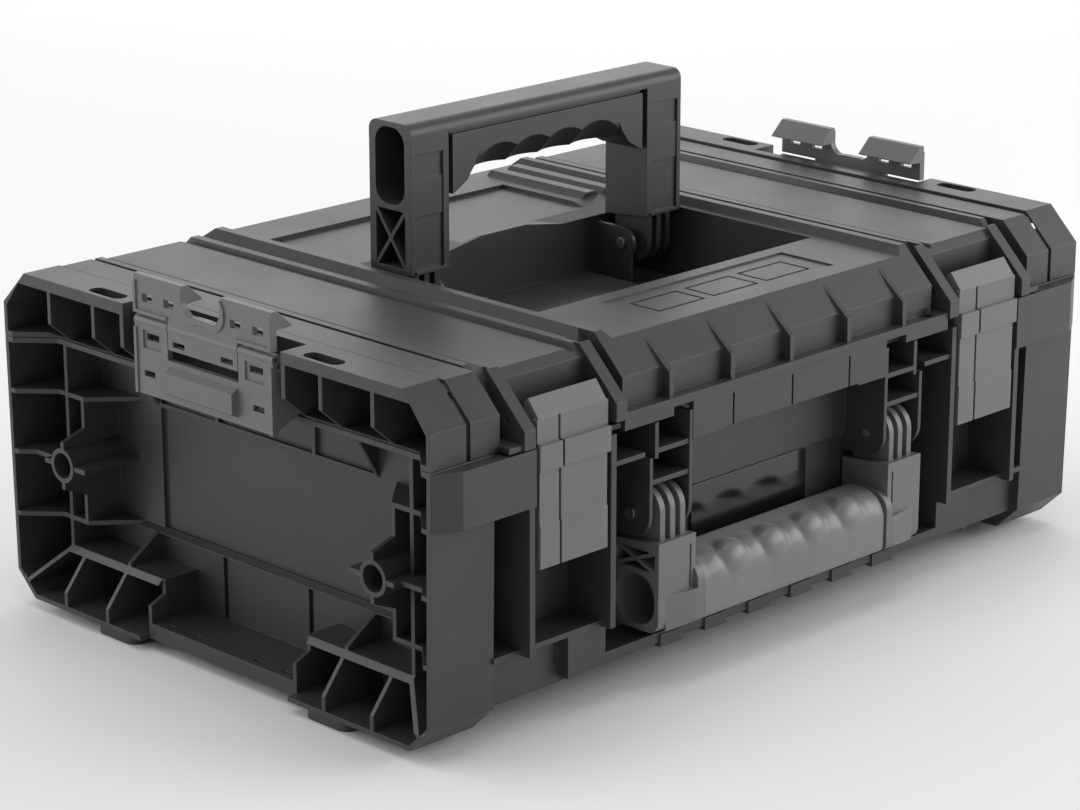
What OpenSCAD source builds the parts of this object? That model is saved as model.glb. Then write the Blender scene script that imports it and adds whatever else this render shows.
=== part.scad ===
// Hard tool case: a ribbed base and a hinged lid, two pull latches, a folding top handle,
// a hanging front handle and a stacking clip at each end.
// X runs along the case, the front faces -Y and Z is up. Every module is drawn from the base's
// bottom rim, and placed() lifts it onto the feet, so z = 0 is what the case stands on.

/* [Case] */
// Length over the two end frames
case_l = 440; // [436:1:470]
// Depth between the front and back faces
case_w = 288; // [286:1:310]
// Height of the base above its bottom rim
base_h = 127; // [125:1:133]
// Height of the lid's end blocks above the parting line
lid_h = 33; // [32:0.5:36]
// Height of the moulded feet
foot_h = 5.5; // [4:0.5:8]
// Wall thickness of base and lid
wall = 2.5; // [2:0.1:3]
// Thickness of the open ribs
rib_t = 2.2; // [1.8:0.1:2.6]
// Gap between lid and base when shut
part_gap = 0.3; // [0.2:0.05:0.5]
// Running clearance between moving pieces
run_gap = 0.5; // [0.4:0.05:0.7]

/* [End frames] */
// Depth of the open end frames, which is also the corner pillars' width
end_depth = 37; // [34:0.5:40]
// Depth of the dished face inside the outer rim
dish_depth = 14; // [10:0.5:16]
// Depth of the middle pocket below the outer rim
pocket_depth = 34; // [30:0.5:34]
// Height of the shelf under the end cells
deck_z = 26.8; // [24:0.5:30]
// Height of the lower rib
low_rib_z = 40.5; // [38:0.5:43]
// Height of the upper rib
top_rib_z = 101; // [98:0.5:104]
// Height of the round bosses
boss_z = 71.3; // [68:0.5:74]
// Distance of the round bosses from the middle
boss_y = 106.5; // [104:0.5:108]
// Outer diameter of the round bosses
boss_d = 16.5; // [15:0.5:18]
// Bore of the round bosses
boss_bore = 12.4; // [10:0.2:13]

/* [Front] */
// Depth of the open front bays behind the face
bay_depth = 20.5; // [19:0.5:22]
// Height of the latch bays' floor
bay_floor_z = 35.5; // [34:0.5:40]
// How far the band, ribs and latches stand in front of the face
front_reach = 7; // [6:0.25:7.5]
// Height of the band along the base's top edge
band_h = 26; // [22:0.5:28]
// Height of the trough floor under the front handle
trough_z = 18.5; // [17:0.5:19]
// Distance of each latch's middle from the case's end
latch_inset = 78; // [76.5:0.25:79.5]
// Width of a latch
latch_w = 41; // [40:0.5:44]
// Width of the gap between the lugs that hold a latch
lug_gap = 49; // [48.5:0.25:50]

/* [Handles] */
// Length of both handles over their legs
handle_l = 182; // [176:1:182]
// Width of a handle leg
leg_w = 24; // [22:0.5:25]
// Thickness of both handles from front to back
handle_t = 28; // [26:0.5:28]
// Height of the top handle above its pivot
top_handle_h = 86; // [82:0.5:92]
// Reach of the front handle below its pivot
front_handle_h = 55.2; // [52:0.2:56]
// Radius of the knuckles at both handles' pivots
knuckle_r = 11; // [9:0.5:11.5]
// Diameter of the handle pins
handle_pin_d = 4; // [3:0.5:5]
// Place of the top handle's pivot behind the middle
top_pivot_y = 18; // [17:0.5:20]
// Depth of the handle recess below the lid's middle
recess_depth = 31.6; // [31:0.2:33]

/* [Latches and hinge] */
// Diameter of the latch pins
latch_pin_d = 3; // [2.5:0.5:3.5]
// Diameter of the hinge pins
hinge_pin_d = 4; // [3:0.5:5]
// Radius of the hinge barrels
hinge_r = 5.5; // [4.5:0.25:5.5]

/* [Stacking clips] */
// Width of a stacking clip
clip_w = 93.4; // [88:0.5:96]
// Thickness of the clip's plate and flap
clip_t = 2.8; // [2.4:0.1:3]
// Diameter of the clip's pin
clip_pin_d = 2.4; // [2:0.2:2.6]

/* [Colours] */
// Colour of the case mouldings
shell_colour = "#3d3e40"; // [#3d3e40, #45474a]
// Colour of the latches, clips and front handle
trim_colour = "#5b5c5d"; // [#5b5c5d, #6a6b6c]
// Colour of the pins
pin_colour = "#8a8c8f"; // [#8a8c8f, #a0a2a5]

/* [Hidden] */
$fn = 48;
over = 1;                 // how far a cut runs past the surface that it opens
pin_fit = 0.05;           // running clearance round a pin
same_body_gap = 0.2;      // clearance between two pieces that stay together

// Planes of the case
end_x = case_l / 2;
face_y = case_w / 2;
pillar_x = end_x - end_depth;
tub_x = pillar_x - wall;
bay_y = face_y - bay_depth;
tub_y = bay_y - wall;
front_y = face_y + front_reach;
lid_z = base_h + part_gap;
lid_top = base_h + lid_h;

// Base levels
rim_chamfer_y = 12.5;     // bottom chamfer along the front and back of the end frames
rim_chamfer_z = 12;
face_draft = 1.5;         // the faces lean in by this much towards the bottom
chamfer_slip = 0.414;     // how far a 45 degree corner slides for each millimetre of inset
floor_t = 3;
step_z = 14.5;            // underside of the front and back overhangs
step_y = tub_y - 2;       // outer face of the bottom rim under the overhangs
rim_bar_z = 7.5;          // height of the bar between the end notches
deck_t = 3;
ledge_t = 3;              // depth of the end wall round the middle panel
panel_y = 75;             // half width of the middle panel
notch_y = 49;             // half width of the notch under the deck
column_y = 117.5;         // long columns of the end frame
spoke_y = 106;            // outer spokes and short columns
short_drop = 14;          // length of the short columns
tongue_t = 1.6;
tongue_h = 2.5;
foot_y = 73;
foot_l = 29;
foot_w = 18;
foot_inset = 2;

// Front levels
latch_x = end_x - latch_inset;
bay_half = lug_gap / 2 - 1.3;
bay_rib_t = 3.2;
bay_in_x = latch_x - bay_half;
bay_out_x = latch_x + bay_half;
band_z = base_h - band_h;
band_top = base_h - 0.5;
band_end = 12;            // the band's slanted end, in plan
sill_z = base_h - 5.3;    // top of the cells beside the centre
centre_x = 66.5;          // half width of the centre bay
centre_top = base_h - 1.3;
row_z = [base_h - 19.4, base_h - 33.4];
divider_x = handle_l / 2 - 3;
plate_t = 2;
handle_gap = 1;           // side clearance of a handle leg in its bracket
front_pivot_y = -(face_y - 5.4);
front_pivot_z = 78;
catch_y = -(face_y - 4);
catch_z = base_h - 11;
catch_h = 4;
catch_t = 6;
block_x = latch_x - 3;    // half length of the lower front block
tab_w = 14.5;
tab_pitch = 29.5;
tab_drop = 2;             // how far the tabs hang below the lip
label_half = 39.7;
label_z = 44.5;
label_top = 74;
label_t = 1.4;

// Handles
core_half = 6.5;          // half the thickness of the bar inside a grip
core_top = 8;             // how deep the core lies under the bar's outer face
top_skin = 6.5;           // cover over the top handle's grip
fin_x = 3.9;              // first fin, from the leg's inner face
fin_pitch = 6.5;
fin_t = 3.2;
collar_t = 3.4;           // collar between a leg and the front grip
grip_proud = 3.1;         // the front grip stands this far in front of its handle
grip_inset = 0.4;         // the top grip's faces lie behind the legs' by this much
insert_half = handle_l / 2 - leg_w - 3;
insert_low = 28.5;        // underside of the top grip, below the bar's top
horn_low = 36.4;          // ends of its two horns
finger_r = 29;
finger_pitch = 21.7;
finger_depth = 4;
grip_round = 10;          // rounding of the top grip's lower edges
dome_r = 10;
dome_pitch = 26.8;
top_rim = 4.2;            // wall round the hollow ends of the top handle
brace_t = 1.8;
handle_reach = -front_pivot_y + handle_t / 2 + grip_proud;

// Lid levels
mid_top = lid_top - 3;
cavity_top = lid_top - 7.5;
chamfer_line = face_y + mid_top - 13.5;   // |y| + z on the lid's long front and back chamfers
ridge_x = 98;
ridge_top = lid_top + 0.7;
groove_z = lid_top - 4.5;
rail_x = 114.5;
rail_top = lid_top - 1.5;
gap_z = lid_top - 5.5;
gap_x = pillar_x - 5.5;
block2_x = pillar_x - 3;
block2_top = lid_top - 1;
end_block_x = end_x - 20.5;
flange_y = front_y - 0.5;
flange_top = base_h + 3;
flange_z = base_h - 1;
flange_x = 111;
pocket_y = face_y - 12.5;  // the lid's body stands back to here over the latches
set_line = chamfer_line - 2.9;            // |y| + z on the set-back body's chamfer
slot_line = chamfer_line - 9.5;           // the same in the narrow slots beside it
centre_block_x = flange_x - 5;
edge_groove = 1.4;        // depth of the narrow groove that runs round the lid's edge
lid_kink_z = lid_z + 12;  // where the end ribs start to slant in
pocket_top = lid_top - 12.5;
recess_x = handle_l / 2 + 3;
recess_front = -79;
recess_back = 36;
recess_z = mid_top - recess_depth;
recess_step = 4.9;
top_pivot_z = mid_top - 15;
latch_face = front_y - 2.5;   // plane that the latches' outer faces are set from
latch_pivot_y = -(face_y - 3);
latch_pivot_z = base_h + 11.5;
lug_t = 6.5;
hinge_y = handle_reach - hinge_r;   // the hinges reach as far back as the grip forward
hinge_z = base_h;
hinge_x0 = 60;
hinge_x1 = 110;
hinge_arm = 12;
clip_pocket_y = [-52, 55];
clip_pocket_x = end_x - 15;
clip_axis_x = end_x - 2.2;
clip_axis_z = base_h + 27.5;
clip_r = 2.6;
clip_mid = 23.5;          // half width of the clip's own barrel

// ---------- helpers ----------

module placed() translate([0, 0, foot_h]) children();

module block(x0, x1, y0, y1, z0, z1)
    translate([x0, y0, z0]) cube([x1 - x0, y1 - y0, z1 - z0]);

// A profile drawn in (y, z), run from x0 to x1
module along_x(x0, x1)
    translate([x0, 0, 0]) rotate([90, 0, 90]) linear_extrude(x1 - x0) children();

// A profile drawn in (x, z), run from y0 to y1
module along_y(y0, y1)
    translate([0, y1, 0]) rotate([90, 0, 0]) linear_extrude(y1 - y0) children();

// A cylinder along X from x0 to x1, round the point (y, z)
module rod_x(x0, x1, y, z, d)
    translate([x0, y, z]) rotate([0, 90, 0]) cylinder(h = x1 - x0, d = d);

module both_x() {
    children();
    mirror([1, 0, 0]) children();
}

module both_y() {
    children();
    mirror([0, 1, 0]) children();
}

module rect(a0, a1, b0, b1) translate([a0, b0]) square([a1 - a0, b1 - b0]);

// A straight bar from point p to point q in a flat drawing
module stroke(p, q, t) {
    d = q - p;
    translate(p) rotate(atan2(d[1], d[0])) translate([0, -t / 2]) square([norm(d), t]);
}

// Points of one half, closed with their mirror image across the first axis
function closed(p) = concat(p, [for (i = [len(p) - 1:-1:0]) [-p[i][0], p[i][1]]]);

// A rectangle with quarter-round corners of radius r
module round_rect(a0, a1, b0, b1, r) {
    rect(a0 + r, a1 - r, b0, b1);
    rect(a0, a1, b0 + r, b1 - r);
    for (a = [a0 + r, a1 - r], b = [b0 + r, b1 - r]) translate([a, b]) circle(r);
}

// ---------- base ----------

// Outline of the end frame in (y, z), drawn in by i
function end_outline(i, top) = closed([
    [face_y - i, top],
    [face_y - face_draft - i, rim_chamfer_z + chamfer_slip * i],
    [face_y - face_draft - rim_chamfer_y - chamfer_slip * i, i]]);

// The ribs that show in the open end, each a full-depth wall
module end_ribs() {
    row_end = face_y - face_draft - 0.2;
    rect(-row_end, row_end, top_rib_z - rib_t / 2, top_rib_z + rib_t / 2);
    rect(-row_end, row_end, low_rib_z - rib_t / 2, low_rib_z + rib_t / 2);
    for (s = [-1, 1]) mirror([s < 0 ? 1 : 0, 0]) {
        rect(notch_y, column_y + rib_t / 2, deck_z - deck_t, deck_z);
        rect(column_y - rib_t / 2, column_y + rib_t / 2, deck_z - deck_t, base_h - wall);
        rect(spoke_y - rib_t / 2, spoke_y + rib_t / 2, 1, deck_z - deck_t / 2);
        rect(spoke_y - rib_t / 2, spoke_y + rib_t / 2, low_rib_z, low_rib_z + short_drop);
        rect(spoke_y - rib_t / 2, spoke_y + rib_t / 2, top_rib_z - short_drop, top_rib_z);
        rect(panel_y - rib_t / 2, panel_y + rib_t / 2, 1, base_h - wall);
        rect(notch_y, notch_y + rib_t, 1, deck_z - deck_t / 2);
        rect(32, 32 + rib_t, top_rib_z, base_h - wall);
        stroke([column_y, deck_z - deck_t / 2], [face_y - 8.4, 7.3], rib_t);
    }
}

// What is scooped out of the end face: as deep as the shallower of the plan and side profiles
module end_dish() {
    rim_y = face_y - 5.5;
    flat_y = face_y - 21;
    dish_x = end_x - dish_depth;
    pocket_x = end_x - pocket_depth;
    intersection() {
        translate([0, 0, 9 - over]) linear_extrude(base_h) polygon([for (p = closed([
            [rim_y, end_x], [flat_y, dish_x], [105, dish_x], [87, pocket_x]])) [p[1], p[0]]]);
        along_y(-face_y, face_y) polygon([[end_x, 9], [dish_x, deck_z], [dish_x, deck_z + 1.5],
            [pocket_x, low_rib_z + 1], [pocket_x, base_h - wall], [dish_x, base_h - wall],
            [dish_x, base_h + over], [end_x + over, base_h + over], [end_x + over, 9]]);
    }
    notch_x = end_x - 5.5;
    block(notch_x, end_x + over, -notch_y, notch_y, -over, deck_z);
    // Edges of the walls beside the notch
    both_y() along_y(notch_y - over, notch_y + rib_t) polygon([[notch_x, -over], [notch_x, 16],
        [dish_x, 19.8], [dish_x, deck_z], [end_x + over, deck_z], [end_x + over, -over]]);
}

// A boss with the two crossing ribs that stand out of the dish with it
module end_boss() {
    proud_x = end_x - 1.4;
    dish_x = end_x - dish_depth;
    difference() {
        union() {
            rod_x(pillar_x, proud_x, boss_y, boss_z, boss_d);
            translate([0, spoke_y + rib_t / 2, 0]) rotate([90, 0, 0]) linear_extrude(rib_t)
                polygon([[pillar_x, top_rib_z - short_drop], [dish_x, top_rib_z - short_drop],
                    [proud_x, boss_z + 11.5], [proud_x, boss_z - 11.5],
                    [dish_x, low_rib_z + short_drop], [pillar_x, low_rib_z + short_drop]]);
            translate([0, 0, boss_z - rib_t / 2]) linear_extrude(rib_t)
                polygon([[pillar_x, boss_y - 16], [proud_x - 0.6, boss_y - 16], [proud_x, boss_y + 13],
                    [end_x - 6, boss_y + 13], [end_x - 6, boss_y + 25.5], [end_x, face_y - 6],
                    [end_x, face_y - 1.8], [pillar_x, face_y - 1.8]]);
        }
        rod_x(pillar_x + wall, end_x + over, boss_y, boss_z, boss_bore);
    }
}

module end_frame() {
    difference() {
        union() {
            along_x(pillar_x, end_x) difference() {
                polygon(end_outline(0, base_h));
                polygon(end_outline(rib_t, base_h - wall));
            }
            along_x(pillar_x, end_x) end_ribs();
            block(pillar_x, end_x - 5.5, -notch_y - over, notch_y + over, rim_bar_z - wall, rim_bar_z);
            // The wall behind the cells is also the side of the corner pillars
            along_x(pillar_x, pillar_x + ledge_t) polygon(end_outline(0, base_h));
        }
        end_dish();
        // Middle panel
        block(pillar_x, end_x, -panel_y + rib_t, panel_y - rib_t,
            low_rib_z + rib_t / 2, top_rib_z - rib_t / 2);
        // Short panels above it, with a low rib beside the middle one
        for (y = [[-panel_y + rib_t, -34.2], [-32, 32], [34.2, panel_y - rib_t]])
            block(pillar_x, end_x, y[0], y[1], top_rib_z + rib_t / 2, base_h - wall);
        block(pillar_x + 3, end_x - dish_depth, -36, 36, top_rib_z + rib_t / 2, base_h - wall);
        // Between the two notches the bottom is a raised ledge, open below
        block(pillar_x + ledge_t, end_x + over, -notch_y, notch_y, -over, rim_bar_z - wall);
        // Drain slots
        for (y = [-40, -21, 21, 40])
            block(end_x - 10.5, end_x - 9, y - 3, y + 3, 0, rim_bar_z + over);
        // Grooves in the wall below the panel
        for (y = [-29.5, 29.5])
            block(pillar_x + 0.5, end_x, y - 1.5, y + 1.5, rim_bar_z, low_rib_z - rib_t / 2);
    }
    block(end_x - 5.5 - rib_t, end_x - 5.5, -notch_y - over, notch_y + over, 0, rim_bar_z);
    // Webs that carry the top flange, deep at the flange and shallow at the rib
    both_y() along_y(panel_y - rib_t / 2, panel_y + rib_t / 2) polygon([
        [pillar_x, top_rib_z], [end_x - pocket_depth, top_rib_z], [end_x - 20, base_h - wall],
        [end_x - 20, base_h - wall + 1], [pillar_x, base_h - wall + 1]]);
    both_y() end_boss();
}

// Open tub with a step in its long walls, and the tongue that locates the lid
module tub() {
    difference() {
        union() {
            block(-pillar_x - over, pillar_x + over, -bay_y, bay_y, step_z, base_h);
            block(-pillar_x - over, pillar_x + over, -step_y, step_y, 0, step_z + over);
            block(-tub_x - tongue_t, tub_x + tongue_t, -tub_y - tongue_t, tub_y + tongue_t,
                base_h - over, base_h + tongue_h);
        }
        block(-tub_x, tub_x, -tub_y, tub_y, step_z + wall, base_h + tongue_h + over);
        block(-tub_x, tub_x, -step_y + wall, step_y - wall, floor_t, step_z + wall + over);
    }
}

// Right half of the open front: bay ribs, band, shelves and the lower block
module front_half() {
    rib_front = front_y - 1;
    // Ribs on both sides of the latch bay
    block(bay_out_x, bay_out_x + bay_rib_t, -rib_front, -bay_y + over, bay_floor_z - wall, band_top);
    block(bay_in_x - bay_rib_t, bay_in_x, -rib_front, -bay_y + over, bay_floor_z - wall, sill_z);
    // Band over the dark opening and the pillar, with a slanted end
    difference() {
        band_plan(0, band_z, band_top);
        band_plan(wall, band_z - over, band_top - wall);
    }
    // Shelf under the bays
    block(bay_in_x - bay_rib_t, pillar_x + over, -face_y, -bay_y + over,
        bay_floor_z - wall, bay_floor_z);
    // Catch bar that the latch's tooth snaps past
    block(bay_in_x - over, bay_out_x + over, catch_y, catch_y + catch_t, catch_z - catch_h, catch_z);
    block(latch_x - 1, latch_x + 1, catch_y + 1, -bay_y + over, catch_z - catch_h, catch_z);
    // Walls of the lower front, one behind the other
    block(block_x, pillar_x + over, -face_y + 6, -face_y + 6 + wall, step_z - 3.7, bay_floor_z);
    block(block_x, pillar_x + over, -face_y + 6, -step_y + over, step_z - 3.7, step_z - 3.7 + wall);
    block(bay_in_x - bay_rib_t, block_x, -face_y, -face_y + wall, step_z, bay_floor_z);
    block(block_x - wall, block_x, -face_y, -step_y + over, step_z - 1, bay_floor_z);
    block(bay_in_x - bay_rib_t, bay_in_x - bay_rib_t + wall, -face_y, -bay_y + over, step_z,
        bay_floor_z);
    // Cells beside the centre bay
    cell_x = centre_x + plate_t;
    cell_front = rib_front - 1;
    plate_x = handle_l / 2 + handle_gap;
    block(centre_x, bay_in_x, -face_y + 4, -bay_y + over, sill_z - wall, sill_z);
    for (x = [[cell_x - over, divider_x + rib_t], [plate_x + plate_t + 2.5, bay_in_x - over]])
        block(x[0], x[1], -cell_front, -bay_y + over, row_z[0] - rib_t / 2, row_z[0] + rib_t / 2);
    block(cell_x - over, plate_x + over, -cell_front, -bay_y + over,
        row_z[1] - rib_t / 2, row_z[1] + rib_t / 2);
    block(divider_x, divider_x + rib_t, -cell_front, -bay_y + over, row_z[0] - 3.4, sill_z - over);
    // Bracket plates of the front handle
    front_bracket(plate_x, row_z[0] - 2.5);
    front_bracket(centre_x, sill_z);
}

// Plan of the band, drawn in by i from its front
module band_plan(i, z0, z1) {
    x0 = bay_out_x + (i > 0 ? bay_rib_t : 0);
    translate([0, 0, z0]) linear_extrude(z1 - z0)
        polygon([[x0, -face_y + (i > 0 ? 0 : over)], [x0, -front_y + i],
            [end_x - band_end - i / 2, -front_y + i], [end_x - 1.5 * i, -face_y],
            [end_x - 1.5 * i, -face_y + (i > 0 ? 0 : over)]]);
}

// One plate, rounded at its lower front, with the pin's bore
module front_bracket(x, top) {
    r = 10.9;
    difference() {
        union() {
            rod_x(x, x + plate_t, front_pivot_y, front_pivot_z, 2 * r);
            block(x, x + plate_t, front_pivot_y - r, -bay_y + over, front_pivot_z, top);
            block(x, x + plate_t, front_pivot_y, -bay_y + over, front_pivot_z - r, front_pivot_z + r);
        }
        rod_x(x - over, x + plate_t + over, front_pivot_y, front_pivot_z, handle_pin_d);
    }
}

module front_centre() {
    band_y = front_y - 1.3;
    // Centre band with stepped lower edge and seams
    difference() {
        union() {
            block(-centre_x, centre_x, -band_y, -band_y + wall, base_h - 19, centre_top);
            block(-centre_x, centre_x, -band_y, -bay_y + over, centre_top - wall, centre_top);
        }
        for (x = [-40, 0, 40]) block(x - 0.6, x + 0.6, -band_y - over, -band_y + 1.2,
            base_h - 20, centre_top - 2);
        block(-centre_x + 20, centre_x - 20, -band_y - over, -band_y + wall + over,
            base_h - 20, base_h - 18);
    }
    // Upper part of the wall behind the handle stands forward
    block(-centre_x, centre_x, -bay_y - 2.5, -bay_y + over, label_top + 1, centre_top - over);
    // Handle trough, its lip and the tabs under it
    lower_x = bay_in_x - bay_rib_t + over;
    block(-lower_x, lower_x, -face_y, -bay_y + over, trough_z - wall, trough_z);
    block(-lower_x, lower_x, -face_y, -face_y + wall, step_z + 1.5, trough_z + 1);
    block(-block_x, block_x, -face_y, -step_y + over, step_z, step_z + wall);
    for (i = [-2.5:1:2.5]) block(i * tab_pitch - tab_w / 2, i * tab_pitch + tab_w / 2,
        -face_y - 1, -face_y + 6, step_z - tab_drop, step_z + 4);
}

// Back: a flange, ribs and a lower ledge between the pillars, and the base's hinge barrels
module back_frame() {
    block(-pillar_x - over, pillar_x + over, bay_y - over, face_y, base_h - wall, base_h);
    block(-pillar_x - over, pillar_x + over, step_y - over, face_y - 2, step_z, step_z + wall);
    block(-pillar_x - over, pillar_x + over, bay_y - over, face_y - 1.5, bay_floor_z - wall,
        bay_floor_z);
    for (x = [-152, -128, -85, -42, 0, 42, 85, 128, 152])
        block(x - rib_t / 2, x + rib_t / 2, bay_y - over, face_y - 2, step_z + over, base_h - over);
    both_x() for (x = [hinge_x0, hinge_x1 - hinge_arm]) difference() {
        union() {
            rod_x(x, x + hinge_arm, hinge_y, hinge_z, 2 * hinge_r);
            along_x(x, x + hinge_arm) polygon([[face_y - 3, hinge_z - 22], [face_y - 3, hinge_z],
                [hinge_y - hinge_r + 0.2, hinge_z], [hinge_y + hinge_r - 1.4, hinge_z - 3.6],
                [face_y + 1, hinge_z - 22]]);
        }
        rod_x(x - over, x + hinge_arm + over, hinge_y, hinge_z, hinge_pin_d);
    }
}

module foot() {
    x1 = end_x - foot_inset;
    translate([0, 0, -foot_h]) linear_extrude(foot_h + over)
        round_rect(x1 - foot_w, x1, foot_y - foot_l / 2, foot_y + foot_l / 2, 6);
}

module base_shell() color(shell_colour) placed() {
    tub();
    both_x() end_frame();
    both_x() front_half();
    front_centre();
    back_frame();
    both_x() both_y() foot();
}

module label_plate() color("#141415") placed()
    along_y(-bay_y - label_t, -bay_y) round_rect(-label_half, label_half, label_z, label_top, 1.5);

// ---------- lid ----------

// Half profile of the lid's top along the case, from the middle outwards
function lid_long() = [
    [end_x, lid_z], [end_x, lid_top], [end_block_x, lid_top], [end_block_x, lid_top - 2.5],
    [end_block_x - 2.5, lid_top - 2.5], [end_block_x - 2.5, block2_top], [block2_x, block2_top],
    [block2_x, gap_z], [gap_x, gap_z], [gap_x, rail_top + 0.5], [gap_x - 3.5, rail_top + 0.5],
    [gap_x - 4.5, mid_top - 1.5], [gap_x - 9.5, mid_top], [rail_x + 10, mid_top],
    [rail_x + 9.5, groove_z], [rail_x + 5.5, groove_z], [rail_x + 5, rail_top],
    [rail_x + 0.5, rail_top], [rail_x, groove_z], [ridge_x + 14.5, groove_z],
    [ridge_x + 8, ridge_top], [ridge_x + 3.5, ridge_top], [ridge_x, mid_top]];

// Half profile of the lid across the case
function lid_cross(i, z0, z1) = closed([
    [face_y - i, z0], [face_y - i, chamfer_line - face_y - chamfer_slip * i],
    [chamfer_line - z1 - chamfer_slip * i, z1]]);

module lid_blank() intersection() {
    along_y(-face_y - over, face_y + over) polygon(closed(lid_long()));
    along_x(-end_x - over, end_x + over) polygon(lid_cross(0, lid_z - over, ridge_top + over));
}

// Open cells of the lid's end, between its ribs
module lid_end_cut() {
    cell_top = lid_top - 5.5;
    dish_x = end_x - dish_depth;
    difference() {
        along_x(pillar_x + ledge_t, end_x + over) difference() {
            polygon(lid_cross(rib_t, lid_z + wall, cell_top));
            for (y = [-109.4, -77, 77, 109.4])
                rect(y - rib_t / 2, y + rib_t / 2, lid_z, cell_top + over);
        }
        // Walls of the pocket that the clip stands in
        block(pillar_x, end_x + 2 * over, clip_pocket_y[0] - wall, clip_pocket_y[1] + wall,
            lid_z, lid_top);
    }
    block(pillar_x + ledge_t, clip_pocket_x - wall, clip_pocket_y[0], clip_pocket_y[1],
        lid_z - over, cell_top);
    block(clip_pocket_x, end_x + over, clip_pocket_y[0], clip_pocket_y[1],
        lid_z - over, lid_top + over);
    intersection() {
        translate([0, 0, lid_z - over]) linear_extrude(lid_h) polygon([for (p = closed([
            [face_y - 5.5, end_x + over], [face_y - 5.5, end_x], [face_y - 21, dish_x]]))
            [p[1], p[0]]]);
        along_y(-face_y, face_y) polygon([[dish_x, lid_z - 2 * over], [dish_x, lid_z],
            [end_x, lid_kink_z], [end_x + 2 * over, lid_kink_z], [end_x + 2 * over, lid_z - 2 * over]]);
    }
}

// Hollow inside the lid, over the tub and behind its front and back faces
module lid_hollow() {
    rim_x = tub_x + tongue_t + run_gap;
    rim_y = tub_y + tongue_t + run_gap;
    block(-rim_x, rim_x, -rim_y, rim_y, lid_z - 2 * over, cavity_top);
    inner_y = rim_y + wall;
    for (s = [0, 1]) mirror([0, s, 0]) along_x(-centre_block_x + wall, centre_block_x - wall)
        polygon([[inner_y, lid_z - 2 * over], [inner_y, cavity_top - 2],
            [chamfer_line - cavity_top - wall, cavity_top - 2],
            [face_y - wall, chamfer_line - face_y - wall], [face_y - wall, lid_z - 2 * over]]);
    both_x() block(rail_x + 8, block2_x, inner_y, face_y - wall, lid_z - 2 * over, pocket_top - 8);
    both_x() block(pillar_x + ledge_t, end_block_x, -face_y + wall, face_y - wall,
        lid_z - 2 * over, lid_z - over);
}

// The handle's recess: floor, walls and the brackets for its pins
module recess_box() {
    t = wall;
    block(-recess_x - t, recess_x + t, recess_front - t, recess_back + t,
        recess_z - recess_step - t, cavity_top + over);
}

module recess_cut() {
    bracket_x = handle_l / 2 - leg_w - handle_gap - plate_t;
    difference() {
        union() {
            block(-recess_x, recess_x, recess_front, recess_back, recess_z, lid_top + over);
            both_x() block(bracket_x - 6, recess_x, recess_front + 6, recess_back,
                recess_z - recess_step, recess_z + over);
        }
        both_x() block(bracket_x, bracket_x + plate_t, top_pivot_y - 6, recess_back + over,
            recess_z - recess_step - over, top_pivot_z);
        both_x() block(bracket_x, bracket_x + plate_t, top_pivot_y, recess_back + over,
            top_pivot_z - over, top_pivot_z + 8);
        both_x() rod_x(bracket_x, bracket_x + plate_t, top_pivot_y, top_pivot_z, 16);
    }
    // Pin bores through the brackets and into the recess's side walls
    both_x() rod_x(bracket_x - over, recess_x + 1.5, top_pivot_y, top_pivot_z, handle_pin_d);
    // Lowered rim behind the recess, next to each bracket
    both_x() intersection() {
        along_y(recess_back - over, face_y) polygon([[15, mid_top], [42, mid_top - 4.5],
            [recess_x, mid_top - 4.5], [recess_x, lid_top], [15, lid_top]]);
        along_x(0, recess_x) polygon([[recess_back - 2, mid_top - 4.7], [recess_back + 17, mid_top],
            [recess_back + 17, lid_top], [recess_back - 2, lid_top]]);
    }
}

// Lug that carries one end of a latch pin
module lug(x0, x1) along_x(x0, x1) polygon([[-(chamfer_line - rail_top), rail_top],
    [-front_y - 0.7, chamfer_line - front_y - 0.7], [-front_y - 0.7, base_h + 0.5],
    [-pocket_y + 3, base_h + 0.5], [-pocket_y + 3, rail_top]]);

module lid_front() {
    // Flange over the base's top edge, with lips in front of the cells
    block(-flange_x, flange_x, -flange_y, -face_y + wall, flange_z, flange_top);
    both_x() block(flange_x - 31, flange_x, -flange_y, -flange_y + wall,
        flange_z - 4, flange_z + over);
    // Gussets
    root_y = chamfer_line - mid_top + 2.5;
    for (x = [-80, -40, 0, 40, 80]) along_x(x - 1.3, x + 1.3) polygon([
        [-face_y + over, flange_top - over], [-flange_y + 1.5, flange_top - over],
        [-flange_y + 1.7, mid_top - 15.5], [-root_y, mid_top - 2.5],
        [-root_y + over, mid_top - 2.5 - over], [-face_y + over, chamfer_line - face_y - over]]);
    both_x() {
        lug(latch_x - lug_gap / 2 - lug_t, latch_x - lug_gap / 2);
        lug(latch_x + lug_gap / 2, latch_x + lug_gap / 2 + lug_t);
        block(latch_x + lug_gap / 2, block2_x + over, -flange_y, -face_y + over,
            base_h + 0.5, flange_top);
    }
}

// What lies in front of the line |y| + z and of the set-back front, above z0
module lid_setback(x0, x1, z0, line) along_x(x0, x1) polygon([
    [-(line - lid_top - over), lid_top + over], [-pocket_y, line - pocket_y], [-pocket_y, z0],
    [-face_y - over, z0], [-face_y - over, lid_top + over]]);

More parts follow.
